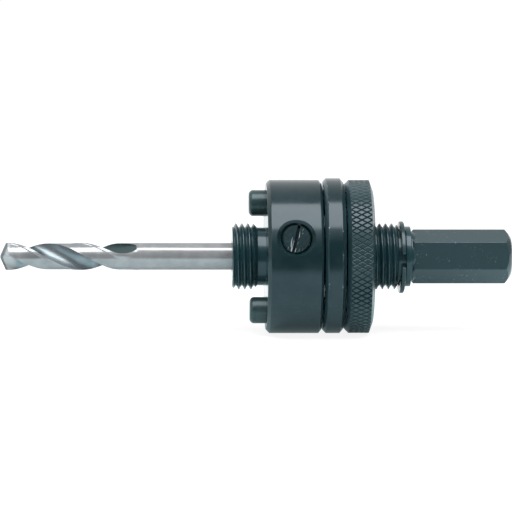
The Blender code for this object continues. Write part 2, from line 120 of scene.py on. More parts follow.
def face_outwards():
    """Turns every face of the open piece outwards."""
    bpy.ops.mesh.select_all(action="SELECT")
    bpy.ops.mesh.normals_make_consistent(inside=False)


def break_corners(offset, angle_deg, segments):
    """Rounds the open piece's edges that are sharper than an angle, by an offset in mm."""
    bpy.ops.mesh.select_mode(type="EDGE")
    bpy.ops.mesh.select_all(action="DESELECT")
    bpy.ops.mesh.edges_select_sharp(sharpness=math.radians(angle_deg))
    bpy.ops.mesh.bevel(offset=offset * mm, segments=segments, affect="EDGES")


def settle(piece, place):
    """Puts a piece made round the world's X axis in its place, and keeps that place in its mesh."""
    if bpy.context.mode != "OBJECT":
        bpy.ops.object.mode_set(mode="OBJECT")
    pick(piece)
    piece.matrix_world = place
    bpy.ops.object.transform_apply(location=True, rotation=True, scale=True)
    return piece


def draw_line(name, points):
    """An open line of edges through (along, radius) points in mm, left in edit mode."""
    bpy.ops.object.select_all(action="DESELECT")
    bpy.ops.mesh.primitive_plane_add(size=mm, location=(0, 0, 0), enter_editmode=True)
    bpy.ops.mesh.select_mode(type="VERT")
    bpy.ops.mesh.select_all(action="SELECT")
    bpy.ops.mesh.merge(type="CENTER")
    piece = bpy.context.object
    piece.name = name
    bpy.ops.transform.translate(value=(points[0][0] * mm, 0, points[0][1] * mm))
    for (along, radius), (next_along, next_radius) in zip(points, points[1:]):
        step = ((next_along - along) * mm, 0, (next_radius - radius) * mm)
        bpy.ops.mesh.extrude_vertices_move(TRANSFORM_OT_translate={"value": step})
    bpy.ops.mesh.select_all(action="SELECT")
    return piece


def turned(name, points, steps=192, place=on_axis, corner=0.0):
    """A lathe piece from its half section, with its corners broken by a small round."""
    piece = draw_line(name, points)
    bpy.ops.mesh.spin(steps=steps, angle=2 * math.pi, center=(0, 0, 0), axis=(1, 0, 0))
    bpy.ops.mesh.select_all(action="SELECT")
    bpy.ops.mesh.remove_doubles(threshold=1e-7)
    face_outwards()
    if corner:
        break_corners(corner, 20, 3)
    return settle(piece, place)


def threaded(name, start, end, crest, pitch, crest_at, steps=96, place=on_axis):
    """A bar with a right hand sixty degree thread, from one row of teeth swung round the axis."""
    tooth = ((-0.5, -0.63), (-0.415, -0.59), (-0.085, -0.02), (-0.05, 0.0), (0.05, 0.0),
             (0.085, -0.02), (0.415, -0.59))
    first = crest_at + math.floor((start - crest_at) / pitch - 1.5) * pitch
    count = math.ceil((end - first) / pitch) + 2
    points = [(first + (number + along) * pitch, crest + depth * pitch)
              for number in range(count) for along, depth in tooth]
    piece = draw_line(name, points)
    bpy.ops.object.mode_set(mode="OBJECT")
    bpy.ops.object.modifier_add(type="SCREW")
    swing = piece.modifiers[-1]
    swing.axis = "X"
    swing.angle = 2 * math.pi
    swing.screw_offset = pitch * mm
    swing.steps = swing.render_steps = steps
    swing.use_merge_vertices = False
    bpy.ops.object.modifier_apply(modifier=swing.name)
    edit(piece)
    bpy.ops.mesh.select_all(action="SELECT")
    bpy.ops.mesh.remove_doubles(threshold=2e-6)
    for cut, inner in ((start, True), (end, False)):
        bpy.ops.mesh.select_all(action="SELECT")
        bpy.ops.mesh.bisect(plane_co=(cut * mm, 0, 0), plane_no=(1, 0, 0), use_fill=True,
                            clear_inner=inner, clear_outer=not inner, threshold=1e-7)
    face_outwards()
    return settle(piece, place)


def combine(piece, operation, other):
    """Joins, cuts or keeps what two closed pieces share, and takes the second away."""
    pick(piece)
    bpy.ops.object.modifier_add(type="BOOLEAN")
    step = piece.modifiers[-1]
    step.operation = operation
    step.solver = "EXACT"
    step.object = other
    bpy.ops.object.modifier_apply(modifier=step.name)
    bpy.data.objects.remove(other, do_unlink=True)
    edit(piece)
    bpy.ops.mesh.select_all(action="SELECT")
    bpy.ops.mesh.remove_doubles(threshold=1e-6)
    bpy.ops.mesh.dissolve_degenerate(threshold=1e-6)
    bpy.ops.object.mode_set(mode="OBJECT")


def smooth(piece, angle_deg=28.0):
    """Shades a piece smooth up to its sharp edges, with its flats kept flat."""
    pick(piece)
    bpy.ops.object.shade_smooth_by_angle(angle=math.radians(angle_deg), keep_sharp_edges=False)
    bpy.ops.object.modifier_add(type="WEIGHTED_NORMAL")
    weigh = piece.modifiers[-1]
    weigh.keep_sharp = True
    bpy.ops.object.modifier_apply(modifier=weigh.name)


def around(up_deg, reach):
    """A place at a reach in mm off the axis, up by the angle from facing the viewer."""
    up = math.radians(up_deg)
    return Matrix.Translation((0, -reach * mm * math.cos(up), axis_z + reach * mm * math.sin(up)))


pin_places = [around(screw_up_deg + side, pin_circle) for side in (90, -90)]
across_screw = Matrix.Translation((screw_x * mm, 0, axis_z)) @ Matrix(
    (screw_aim, Vector((1, 0, 0)).cross(screw_aim), Vector((1, 0, 0)))).transposed().to_4x4()

body = turned("arbor_body_steel", [
    (spigot_front + 1.0, 0), (spigot_front + 1.0, 5.4), (flange_front - 2.4, relief_radius),
    (flange_front, relief_radius), *flange_corners, (flange_rear, relief_radius),
    (groove_front - 0.6, relief_radius), (groove_front - 0.6, groove_radius),
    (collar_front, groove_radius), (collar_front, collar_radius), (collar_rear, collar_radius),
    (collar_rear + 0.1, neck_radius), (collar_rear + 0.6, neck_radius),
    (collar_rear + 1.6, 5.2), (collar_rear + 1.6, 0)], corner=0.1)
spigot = threaded("spigot_thread", spigot_front, flange_front - 1.5, thread_crest, thread_pitch,
                  spigot_crest_at)
combine(spigot, "INTERSECT", turned("spigot_form", [
    (spigot_front, 0), (spigot_front, 7.15), (spigot_front + 0.65, thread_blank),
    (flange_front - 3.0, thread_blank), (flange_front - 1.9, 6.72), (flange_front - 1.9, 0)]))
spindle = threaded("spindle_thread", flange_rear + 0.5, groove_front, thread_crest, thread_pitch,
                   spindle_crest_at)
combine(spindle, "INTERSECT", turned("spindle_form", [
    (flange_rear + 0.6, 0), (flange_rear + 0.6, 6.7), (flange_rear + 1.7, thread_blank),
    (groove_front - 0.5, thread_blank), (groove_front, 7.32), (groove_front, 0)]))

hex_from = collar_rear + 0.3
bpy.ops.object.select_all(action="DESELECT")
bpy.ops.mesh.primitive_cylinder_add(vertices=6, radius=across_flats / math.sqrt(3) * mm,
                                    depth=(shank_end - hex_from) * mm)
shank = bpy.context.object
settle(shank, Matrix.Translation(((hex_from + shank_end) / 2 * mm, 0, axis_z))
       @ Matrix.Rotation(math.radians(30 - flat_up_deg), 4, "X") @ Matrix.Rotation(math.pi / 2, 4, "Y"))
edit(shank)
select(shank, "EDGE", lambda edge: abs(edge.verts[0].co.x - edge.verts[1].co.x) > 5 * mm)
bpy.ops.mesh.bevel(offset=0.12 * mm, segments=3, affect="EDGES")
bpy.ops.object.mode_set(mode="OBJECT")
combine(shank, "INTERSECT", turned("shank_form", [
    (hex_from, 0), (hex_from, 5.9), (hex_from + 0.45, 6.35), (hex_from + 1.0, 8.0),
    (shank_end - 2.9, 8.0), (shank_end - 0.55, 5.25),
    (shank_end - 0.2, 4.65), (shank_end, 4.2), (shank_end, 0)], steps=256))
for solid in (spigot, spindle, shank):
    combine(body, "UNION", solid)

bore_end = spigot_front + bore_depth
combine(body, "DIFFERENCE", turned("drill_bore", [
    (spigot_front - 1, 0), (spigot_front - 1, bore_mouth), (spigot_front + 0.45, bore_radius),
    (bore_end, bore_radius), (bore_end + 2.0, 0)], steps=96))
for pin_place in pin_places:
    combine(body, "DIFFERENCE", turned("pin_hole", [
        (flange_front - 1, 0), (flange_front - 1, pin_mouth), (flange_front + 0.2, pin_hole),
        (flange_rear - 0.2, pin_hole), (flange_rear + 1, pin_mouth), (flange_rear + 1, 0)],
        steps=64, place=pin_place))
combine(body, "DIFFERENCE", threaded("set_screw_tap", 0, tap_depth, tap_radius, screw_pitch, screw_crest_at,
                                     steps=64, place=across_screw))
combine(body, "DIFFERENCE", turned("set_screw_sink", [
    (1, 0), (1, 3.4), (16.6, 3.4), (17.62, sink_radius - 0.15), (19, sink_radius), (19, 0)],
    steps=96, place=across_screw))
smooth(body)


class Tone:
    """A value or colour on its way through a finish, worked on like a number."""

    def __init__(self, tree, socket=None):
        self.tree = tree
        self.socket = socket

    def add(self, kind, settings, inputs, out=0):
        """Any node: its type, its settings, then the values or tones of its sockets."""
        node = self.tree.nodes.new(kind)
        for name, value in settings.items():
            if name == "stops":
                for number, (position, colour) in enumerate(value):
                    if number > 1:
                        node.color_ramp.elements.new(position)
                    node.color_ramp.elements[number].position = position
                    node.color_ramp.elements[number].color = colour
            else:
                setattr(node, name, value)
        for name, value in inputs.items():
            if isinstance(value, Tone):
                self.tree.links.new(value.socket, node.inputs[name])
            else:
                node.inputs[name].default_value = value
        return Tone(self.tree, node.outputs[out])

    def maths(self, operation, *values):
        return self.add("ShaderNodeMath", {"operation": operation}, dict(enumerate(values)))

    def __add__(self, other):
        return self.maths("ADD", self, other)

    def __radd__(self, other):
        return self.maths("ADD", other, self)

    def __sub__(self, other):
        return self.maths("SUBTRACT", self, other)

    def __rsub__(self, other):
        return self.maths("SUBTRACT", other, self)

    def __mul__(self, other):
        return self.maths("MULTIPLY", self, other)

    def __rmul__(self, other):
        return self.maths("MULTIPLY", other, self)

    def __truediv__(self, other):
        return self.maths("DIVIDE", self, other)

    def __rtruediv__(self, other):
        return self.maths("DIVIDE", other, self)

    def __pow__(self, other):
        return self.maths("POWER", self, other)

    def __rpow__(self, other):
        return self.maths("POWER", other, self)

    def most(self, other):
        return self.maths("MAXIMUM", self, other)

    def vector(self, operation, *others, out=0):
        return self.add("ShaderNodeVectorMath", {"operation": operation},
                        dict(enumerate((self,) + others)), out=out)

    def apart(self):
        """The X, Y and Z of a place."""
        first = self.add("ShaderNodeSeparateXYZ", {}, {"Vector": self})
        return [Tone(self.tree, socket) for socket in first.socket.node.outputs]

    def between(self, low, high):
        """0 at low, 1 at high, eased."""
        return self.add("ShaderNodeMapRange", {"interpolation_type": "SMOOTHSTEP"},
                        {"Value": self, "From Min": low, "From Max": high})

    def noise(self, scale, detail=2.0, roughness=0.5):
        return self.add("ShaderNodeTexNoise", {}, {"Vector": self, "Scale": scale, "Detail": detail,
                                                   "Roughness": roughness})

    def blend(self, low, high):
        """The colour low where this is 0 and high where it is 1."""
        return self.add("ShaderNodeMix", {"data_type": "RGBA"},
                        {"Factor": self, 6: low, 7: high}, out=2)

    def bump(self, strength, distance):
        return self.add("ShaderNodeBump", {}, {"Height": self, "Strength": strength,
                                               "Distance": distance})


def new_finish(name, metallic):
    """A material with only its surface shader, and a tone that gives the place on the piece."""
    finish = bpy.data.materials.new(name)
    finish.use_nodes = True
    shader = finish.node_tree.nodes["Principled BSDF"]
    shader.inputs["Metallic"].default_value = metallic
    return finish, shader, Tone(finish.node_tree).add("ShaderNodeTexCoord", {}, {}, out="Object")


def feed(shader, **tones):
    """Links tones to the sockets of a shader, an underscore in a name for each space."""
    for name, tone in tones.items():
        shader.id_data.links.new(tone.socket, shader.inputs[name.replace("_", " ")])


def black_oxide(name, corners=(), dark=(0.005, 0.0155, 0.018, 1), light=(0.0085, 0.0205, 0.0235, 1),
                shine=0.13, lines=1.0, worn=0.2, pitted=0.0, painted_gap_light_spans=(), alter=None):
    """Hot blackened steel: fine turning lines, cloudy teal black, and bright specks on worn corners.

    Along the listed spans, the chamfers that face a neighbouring part get a paler teal and some metallic:
    painted light that lifts the dark they mirror in each other. Alter changes the colour, the roughness and
    how dead a place is, where the piece has something of its own, painted shade included.
    """
    finish, shader, place = new_finish(name, 0.0)
    shader.inputs["IOR"].default_value = 1.46
    shader.inputs["Specular Tint"].default_value = (0.82, 0.92, 1.0, 1)
    along, y, z = place.apart()
    z = z - axis_z
    radius = (y * y + z * z) ** 0.5
    half_plane = place.add("ShaderNodeCombineXYZ", {}, {"X": along, "Y": radius})
    clouds = place.noise(160.0, 4.0, 0.6)
    grain = place.noise(5200.0, 3.0, 0.7)
    turning = half_plane.noise(7000.0, 3.0, 0.7)
    colour = clouds.between(0.35, 0.7).blend(dark, light)
    roughness = shine + clouds.between(0.3, 0.75) * 0.05 + grain.between(0.4, 0.8) * 0.05
    metallic = None
    # Painted light: a paler teal with some metallic on the chamfers that face a neighbouring part, lifting
    # the dark gap between parts.
    painted_gap_light = (0.014, 0.036, 0.042, 1)
    for start, end in painted_gap_light_spans:
        gap_light_mask = along.between(start * mm, (start + 0.1) * mm)
        gap_light_mask = gap_light_mask * (1 - along.between((end - 0.1) * mm, end * mm))
        colour = gap_light_mask.blend(colour, painted_gap_light)
        metallic = gap_light_mask * 0.4 if metallic is None else metallic + gap_light_mask * 0.4
    wear = None
    bare_steel = (0.30, 0.34, 0.35, 1)
    for corner_along, corner_radius in corners:
        corner = (corner_along * mm, corner_radius * mm, 0)
        distance = half_plane.vector("DISTANCE", corner, out="Value")
        near = 1 - distance.between(0.05 * mm, 0.45 * mm)
        wear = near if wear is None else wear.most(near)
    if wear is not None:
        rubbed = place.noise(330.0, 2.0, 0.6).between(0.42, 0.62)
        specks = (wear * rubbed * worn + place.noise(2300.0, 3.0, 0.75) - 0.5).between(0.3, 0.42)
        colour = specks.blend(colour, bare_steel)
        roughness = roughness + specks * 0.12
        metallic = specks if metallic is None else metallic.most(specks)
    if alter is not None:
        colour, roughness, dead = alter(place, along, radius, colour, roughness)
        if dead is not None:
            metallic = dead if metallic is None else metallic.most(dead)
    if metallic is not None:
        feed(shader, Metallic=metallic)
    height = turning * (0.6 * lines) + grain * 0.25
    if pitted:
        height = height + place.noise(2600.0, 2.0, 0.6) * pitted
    feed(shader, Base_Color=colour, Roughness=roughness, Normal=height.bump(0.25, 0.012 * mm))
    return finish


def dress(piece, finish, body_name, slot, *nodes):
    """Gives a piece its finish and body, and hides the CAD nodes that it stands for. The slot is not used.
    """
    piece.data.materials.clear()
    piece.data.materials.append(finish)
    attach(piece, body_name)
    if nodes:
        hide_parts(*nodes)


def spindle_and_sink(place, along, radius, colour, roughness):
    """A paler black on spindle and shank, dust on the shank, and painted shade, a dull dark, down the
    screw's sink.
    """
    thin = 1 - radius.between(8.1 * mm, 8.3 * mm)
    shank_part = along.between(collar_rear * mm, (collar_rear + 1.5) * mm)
    spindle_black = (0.011, 0.032, 0.037, 1)
    shank_black = (0.019, 0.037, 0.042, 1)
    painted_sink_shade = (0.003, 0.014, 0.016, 1)
    pale_dust = (0.10, 0.14, 0.145, 1)
    colour = thin.blend(colour, shank_part.blend(spindle_black, shank_black))
    # Painted shade down the walls of the screw's sink and tapped hole.
    off_screw = place.vector("SUBTRACT", (screw_x * mm, 0, axis_z)).vector("CROSS_PRODUCT", screw_aim)
    sink = 1 - off_screw.vector("LENGTH", out="Value").between((sink_radius - 0.1) * mm,
                                                               (sink_radius + 0.05) * mm)
    sink = sink * (1 - radius.between((flange_radius - 0.1) * mm, (flange_radius - 0.02) * mm))
    colour = sink.blend(colour, painted_sink_shade)
    dust = place.noise(230.0, 2.0, 0.6).between(0.52, 0.62) * shank_part
    dust = dust * place.noise(2900.0, 2.0, 0.6).between(0.64, 0.70)
    return dust.blend(colour, pale_dust), roughness + sink * 0.1 + dust * 0.2, None


# Painted light on the flange's rear chamfer, which faces the plate.
body_finish = black_oxide("body_black_oxide", corners=flange_corners,
                          painted_gap_light_spans=((flange_rear - 0.62, flange_rear + 0.1),), alter=spindle_and_sink)
dress(body, body_finish, "arbor", "black_oxide_steel", "arbor_body")


# Pin plate: a turned ring of the same blackened steel behind the flange, with two pressed
# in drive pins. It slides along the spindle to bring the pins out through the flange.
plate_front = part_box("pin_plate")[0][0] / mm
plate_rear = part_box("pin_plate")[1][0] / mm
plate_axis = Matrix.Translation((0, 0, (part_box("pin_plate")[0][2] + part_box("pin_plate")[1][2]) / 2))
plate_radius = 18.28
plate_bore = 8.1
plate_corners = ((plate_front, 17.4), (plate_front + 0.85, plate_radius),
                 (plate_rear - 0.9, plate_radius), (plate_rear, 17.2))
plate = turned("pin_plate_ring", [
    (plate_front, plate_bore), *plate_corners, (plate_rear, plate_bore), (plate_front, plate_bore)],
    place=plate_axis, corner=0.12)
for pin_place in pin_places:
    combine(plate, "DIFFERENCE", turned("plate_hole", [
        (plate_front - 1, 0), (plate_front - 1, pin_hole), (plate_rear + 1, pin_hole),
        (plate_rear + 1, 0)], steps=64, place=pin_place))
smooth(plate)
# Painted light on both plate chamfers, which face the flange and the nut.
plate_finish = black_oxide("plate_black_oxide", corners=plate_corners, worn=0.3, pitted=1.6,
                           painted_gap_light_spans=((plate_front - 0.1, plate_front + 0.82),
                                 (plate_rear - 0.87, plate_rear + 0.1)))
dress(plate, plate_finish, "pin_plate", "black_oxide_steel", "pin_plate")


# Drive pins: two hardened dowels, ground round and chamfered at both ends, blackened and
# pressed into the plate. They reach through the flange to turn the saw.
pin_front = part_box("drive_pin_upper")[0][0] / mm
pin_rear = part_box("drive_pin_upper")[1][0] / mm
pin_radius = 3.1
upper_pin = turned("drive_pin_upper_dowel", [
    (pin_front, 0), (pin_front, 2.35), (pin_front + 0.3, 2.8), (pin_front + 0.75, pin_radius),
    (pin_rear - 0.4, pin_radius), (pin_rear, 2.7), (pin_rear, 0)],
    steps=96, place=Matrix(), corner=0.08)
smooth(upper_pin)
bpy.ops.object.duplicate()
lower_pin = bpy.context.object
lower_pin.name = "drive_pin_lower_dowel"
pins = ((upper_pin, "drive_pin_upper"), (lower_pin, "drive_pin_lower"))
for (pin, name), pin_place in zip(pins, pin_places):
    settle(pin, pin_place)
    pin_finish = black_oxide(name + "_finish", dark=(0.017, 0.038, 0.039, 1),
                             light=(0.024, 0.046, 0.047, 1), shine=0.25, lines=0.6)
    dress(pin, pin_finish, "pin_plate", "black_pin_steel", name)


# Lock nut: a ring nut on the spindle thread, its rim rolled with a diamond knurl for the
# fingers and chamfered afterwards. It is screwed forward to hold the plate on the flange.
nut_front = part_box("lock_nut")[0][0] / mm
nut_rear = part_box("lock_nut")[1][0] / mm
nut_radius = 18.05
nut_shoulder = 18.02
nut_front_edge = 17.1
nut_rear_edge = 15.8
nut_bore = 8.1
nut_mouth = 9.9
nut_tap_radius = 8.72
knurl_teeth = 80
knurl_rows = 6
knurl_row = 1.25
knurl_depth = 0.42
knurl_flat = 0.66
knurl_peak = nut_radius + knurl_depth * knurl_flat
band_middle = (nut_front + nut_rear) / 2
band_half = knurl_rows / 2 * knurl_row
bpy.ops.object.select_all(action="DESELECT")
bpy.ops.mesh.primitive_circle_add(vertices=2 * knurl_teeth, radius=knurl_peak * mm)
nut = bpy.context.object
nut.name = "lock_nut_ring"
settle(nut, Matrix.Translation(((band_middle - band_half) * mm, 0, axis_z))
       @ Matrix.Rotation(math.pi / 2, 4, "Y"))
edit(nut)
bpy.ops.mesh.select_all(action="SELECT")
for row in range(knurl_rows):
    bpy.ops.mesh.extrude_region_move(TRANSFORM_OT_translate={"value": (knurl_row * mm, 0, 0)})


def knurl_place(corner):
    """Column round the rim and row along it, added up: even in the grooves, odd on the diamonds."""
    turn = math.atan2(corner.co.z - axis_z, corner.co.y) / (2 * math.pi) * 2 * knurl_teeth
    return round(turn) + round((corner.co.x / mm - band_middle) / knurl_row)


select(nut, "VERT", lambda corner: knurl_place(corner) % 2 == 0)
shrink = (knurl_peak - knurl_depth) / knurl_peak
bpy.ops.transform.resize(value=(1, shrink, shrink), center_override=(0, 0, axis_z))
bpy.ops.mesh.select_all(action="SELECT")
bpy.ops.mesh.quads_convert_to_tris(quad_method="SHORTEST_DIAGONAL")
select(nut, "VERT", lambda corner: knurl_place(corner) % 2 == 1
       and abs(corner.co.x / mm - band_middle) < band_half - 0.1 * knurl_row)
bpy.ops.mesh.bevel(offset_type="PERCENT", offset_pct=100 * knurl_flat, affect="VERTICES")
for end in (-band_half, band_half):
    select(nut, "EDGE", lambda edge: all(
        abs(corner.co.x / mm - band_middle - end) < 0.01 for corner in edge.verts))
    bpy.ops.mesh.edge_face_add()
face_outwards()
bpy.ops.object.mode_set(mode="OBJECT")
combine(nut, "INTERSECT", turned("nut_form", [
    (nut_front, 6.0), (nut_front, nut_front_edge), (nut_front + 0.92, nut_shoulder),
    (nut_front + 0.95, 18.4), (nut_rear - 0.86, 18.4), (nut_rear - 0.8, nut_radius),
    (nut_rear, nut_rear_edge), (nut_rear, 6.0), (nut_front, 6.0)]))
combine(nut, "DIFFERENCE", threaded("nut_tap", nut_front - 1, nut_rear + 1, nut_tap_radius,
                                    thread_pitch, spindle_crest_at))
combine(nut, "DIFFERENCE", turned("nut_bore", [
    (nut_front - 1, 0), (nut_front - 1, nut_mouth), (nut_front + 0.8, nut_bore),
    (nut_rear - 0.8, nut_bore), (nut_rear + 1, nut_mouth), (nut_rear + 1, 0)], steps=128))
smooth(nut, 20.0)


def rolled(place, along, radius, colour, roughness):
    """Painted shade: dead black in the bottom of the knurl, where the grooves lie in shade."""
    painted_knurl_groove_shade = (0.006, 0.018, 0.021, 1)
    # Painted shade: darker, rougher and less glossy below the knurl's flats.
    deep = 1 - radius.between((nut_radius - 0.11) * mm, (nut_radius - 0.02) * mm)
    deep = deep * along.between((nut_front + 0.85) * mm, (nut_front + 1.0) * mm)
    deep = deep * (1 - along.between((nut_rear - 1.0) * mm, (nut_rear - 0.85) * mm))
    return deep.blend(colour, painted_knurl_groove_shade), roughness + deep * 0.3, deep * 0.65


nut_corners = ((nut_front, nut_front_edge), (nut_rear, nut_rear_edge))
# Painted light on the nut's front chamfer, which faces the plate; painted shade in the knurl grooves.
nut_finish = black_oxide("nut_black_oxide", corners=nut_corners, dark=(0.012, 0.029, 0.032, 1),
                         light=(0.016, 0.035, 0.039, 1), shine=0.24,
                         painted_gap_light_spans=((nut_front - 0.1, nut_front + 0.95),), alter=rolled)
dress(nut, nut_finish, "lock_nut", "black_oxide_steel", "lock_nut")


# Retaining ring: an open ring of spring steel snapped into the groove behind the spindle
# thread, so that the nut can't come off. It hangs a little low and askew in its groove.
ring_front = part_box("retaining_ring")[0][0] / mm
ring_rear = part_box("retaining_ring")[1][0] / mm
ring_middle = (ring_front + ring_rear) / 2
ring_band = 1.8
ring_band_middle = 7.6
ring_askew_deg = 1.6
ring_drop = 0.2
opening_up_deg = 2.0
opening_deg = 22.0
bpy.ops.object.select_all(action="DESELECT")
bpy.ops.mesh.primitive_plane_add(size=1, enter_editmode=True)
ring = bpy.context.object
ring.name = "retaining_ring_wire"
bpy.ops.transform.rotate(value=math.pi / 2, orient_axis="X", center_override=(0, 0, 0))
bpy.ops.transform.resize(value=((ring_rear - ring_front - 0.15) * mm, 1, ring_band * mm))
bpy.ops.transform.translate(value=(ring_middle * mm, 0, ring_band_middle * mm))
bpy.ops.mesh.spin(steps=120, angle=math.radians(360 - opening_deg), center=(0, 0, 0), axis=(1, 0, 0))
face_outwards()
break_corners(0.3, 40, 4)
ring_turn = math.radians(90 - opening_up_deg - opening_deg / 2)
settle(ring, Matrix.Translation((ring_middle * mm, 0, axis_z - ring_drop * mm))
       @ Matrix.Rotation(math.radians(ring_askew_deg), 4, "Z") @ Matrix.Rotation(ring_turn, 4, "X")
       @ Matrix.Translation((-ring_middle * mm, 0, 0)))
smooth(ring, 40.0)
ring_finish = black_oxide("ring_blued_steel", dark=(0.006, 0.022, 0.026, 1),
                          light=(0.018, 0.038, 0.043, 1), shine=0.17, lines=0.4)
dress(ring, ring_finish, "arbor", "ring_spring_steel", "retaining_ring")


# Set screw: a headless slotted screw that clamps the drill by its flat, sunk in the flange.
# It is cut from blackened steel, and the driver has left scratches beside its slot.
screw_face = 17.25
screw_end = 3.1
screw_crest = 3.74
slot_width = 0.66
slot_depth = 1.8
slot_lean_deg = 13
screw = threaded("set_screw_stud", screw_end, screw_face, screw_crest, screw_pitch,
                 screw_crest_at + screw_pitch / 2, steps=64, place=Matrix())
combine(screw, "INTERSECT", turned("screw_form", [
    (screw_end, 0), (screw_end, 2.2), (screw_end + 1.0, 3.2), (screw_face - 0.6, 3.75),
    (screw_face - 0.06, 3.2), (screw_face, 3.12), (screw_face, 0)], steps=96, place=Matrix()))
bpy.ops.object.select_all(action="DESELECT")
bpy.ops.mesh.primitive_cube_add(size=mm)
slot_cut = bpy.context.object
slot_lean = Matrix.Rotation(math.radians(-slot_lean_deg), 4, "X")
settle(slot_cut, Matrix.Translation((screw_face * mm, 0, 0)) @ slot_lean
       @ Matrix.Diagonal((2 * slot_depth, 12, slot_width, 1)))
combine(screw, "DIFFERENCE", slot_cut)
settle(screw, across_screw)
smooth(screw)
slot_down = (across_screw @ slot_lean).to_3x3() @ Vector((0, 1, 0))
slot_across = (across_screw @ slot_lean).to_3x3() @ Vector((0, 0, 1))


def driven(place, along, radius, colour, roughness):
    """Painted shade in the slot, and scratches beside it where the driver has slipped."""
    mottled_black = (0.003, 0.01, 0.012, 1)
    scratched_steel = (0.17, 0.21, 0.22, 1)
    painted_slot_shade = (0.003, 0.012, 0.015, 1)
    offset = place.vector("SUBTRACT", (screw_x * mm, 0, axis_z))
    depth = screw_face * mm - offset.vector("DOT_PRODUCT", screw_aim, out="Value")
    across = offset.vector("DOT_PRODUCT", slot_across, out="Value")
    down = offset.vector("DOT_PRODUCT", slot_down, out="Value")
    drawn_out = place.add("ShaderNodeCombineXYZ", {}, {"X": across, "Y": down * 0.1})
    slipped = drawn_out.noise(2600.0, 2.0, 0.6)
    beside = 1 - across.maths("ABSOLUTE", across).between(0.7 * mm, 2.2 * mm)
    scratch = (slipped + beside * down.between(-1.5 * mm, 3.0 * mm) * 0.14).between(0.66, 0.71)
    mottled = place.noise(1500.0, 3.0, 0.7).between(0.35, 0.7)
    colour = scratch.blend(mottled.blend(colour, mottled_black), scratched_steel)
    # Painted shade: black deeper than 0.1 mm into the slot.
    black = depth.between(0.1 * mm, 0.35 * mm)
    return black.blend(colour, painted_slot_shade), roughness + black * 0.1, black * 0.6


screw_finish = black_oxide("set_screw_finish", dark=(0.003, 0.012, 0.014, 1),
                           light=(0.007, 0.021, 0.024, 1), shine=0.12, lines=0.3, pitted=0.8,
                           alter=driven)
dress(screw, screw_finish, "set_screw", "black_screw_steel", "set_screw")


# Pilot drill: a quarter inch twist drill of bright high speed steel with a split point.
# Its two flutes are ground along the helix and run out where the grinding wheel lifts,
# and behind them the shank is ground round.
drill_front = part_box("pilot_drill")[0][0] / mm
drill_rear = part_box("pilot_drill")[1][0] / mm
drill_length = drill_rear - drill_front
drill_radius = 3.175
drill_lead = 34.65
twist_rate = 2 * math.pi / drill_lead
web = 0.575
land_step = 0.11
flute_mouth = math.radians(98)
margin = math.radians(12)
flute_length = 32.3
runout = 10.5
full_to = flute_length - runout
wheel_slows = 26.3
wheel_stops_in = 2.5
point_cone = 1 / math.tan(math.radians(135 / 2))
lip_relief = math.tan(math.radians(11))
chisel = 0.6
rear_chamfer = 0.45
flute_up_deg = -13.0
arc_steps = 16
land_steps = 8
helix_steps = 60
runout_steps = 40


def half_of_section(depth):
    """One flute and the land ahead of it as (angle, radius, angle behind the lip), for half a turn."""
    middle = flute_mouth / 2
    out = drill_radius * math.cos(middle)
    wheel_at = (drill_radius ** 2 - web ** 2) / (2 * (out - web))
    wheel = wheel_at - web
    span = math.atan2(drill_radius * math.sin(middle), wheel_at - out)
    places = []
    for number in range(-arc_steps, arc_steps + 1):
        out = wheel_at - wheel * math.cos(number / arc_steps * span)
        across = wheel * math.sin(number / arc_steps * span)
        angle = middle + math.atan2(across, out) * math.sqrt(depth)
        radius = math.hypot(out, across)
        behind = 0.0
        if number > 0:
            radius = min(radius, drill_radius - land_step)
            behind = math.pi - angle
        places.append((angle, drill_radius - (drill_radius - radius) * depth, behind))
    heel = places[-1][0]
    lip = math.pi + places[0][0]
    step = margin * 0.25
    back = lip - margin - step - heel
    for number in range(1, land_steps + 1):
        turn = heel + back * number / land_steps
        places.append((turn, drill_radius - land_step * depth, lip - turn))
    for share in (1.0, 0.66, 0.33):
        places.append((lip - margin * share, drill_radius, margin * share))
    return places


def drill_section(distance, depth, scale=1.0, point=False):
    """Corners of the drill's section at a distance from the point, turned along the helix."""
    slow = max(distance - wheel_slows, 0)
    turned_along = min(distance, wheel_slows) + wheel_stops_in * (1 - math.exp(-slow / wheel_stops_in))
    twist = twist_rate * turned_along + flute_mouth / 2 - math.radians(flute_up_deg)
    corners = []
    for half in (0, 1):
        for angle, radius, behind in half_of_section(depth):
            reach = radius * scale
            along = reach * (point_cone + lip_relief * behind) if point else distance
            turn = twist - angle - half * math.pi + twist_rate * (along - distance)
            corners.append(Vector(((drill_front + along) * mm, -reach * math.cos(turn) * mm,
                                   -reach * math.sin(turn) * mm)))
    return corners


chisel_turn = -math.radians(flute_up_deg)
half_count = len(half_of_section(1.0))
chisel_edge = []
for number in range(2 * half_count):
    side = 1 if (number + half_count - arc_steps - 1) // half_count % 2 == 0 else -1
    chisel_edge.append(Vector((drill_front * mm, -side * chisel * math.cos(chisel_turn) * mm,
                               -side * chisel * math.sin(chisel_turn) * mm)))
body_from = drill_radius * (point_cone + lip_relief * (math.pi - flute_mouth)) + 0.3
sections = [chisel_edge, drill_section(0.0, 1.0, point=True)]
for number in range(helix_steps + 1):
    sections.append(drill_section(body_from + (full_to - body_from) * number / helix_steps, 1.0))
for number in range(1, runout_steps + 1):
    share = math.sin(number / runout_steps * math.pi / 2)
    sections.append(drill_section(full_to + runout * share, 1 - share * share))
sections.append(drill_section(drill_length - rear_chamfer, 0.0))
sections.append(drill_section(drill_length, 0.0, scale=1 - rear_chamfer / drill_radius))

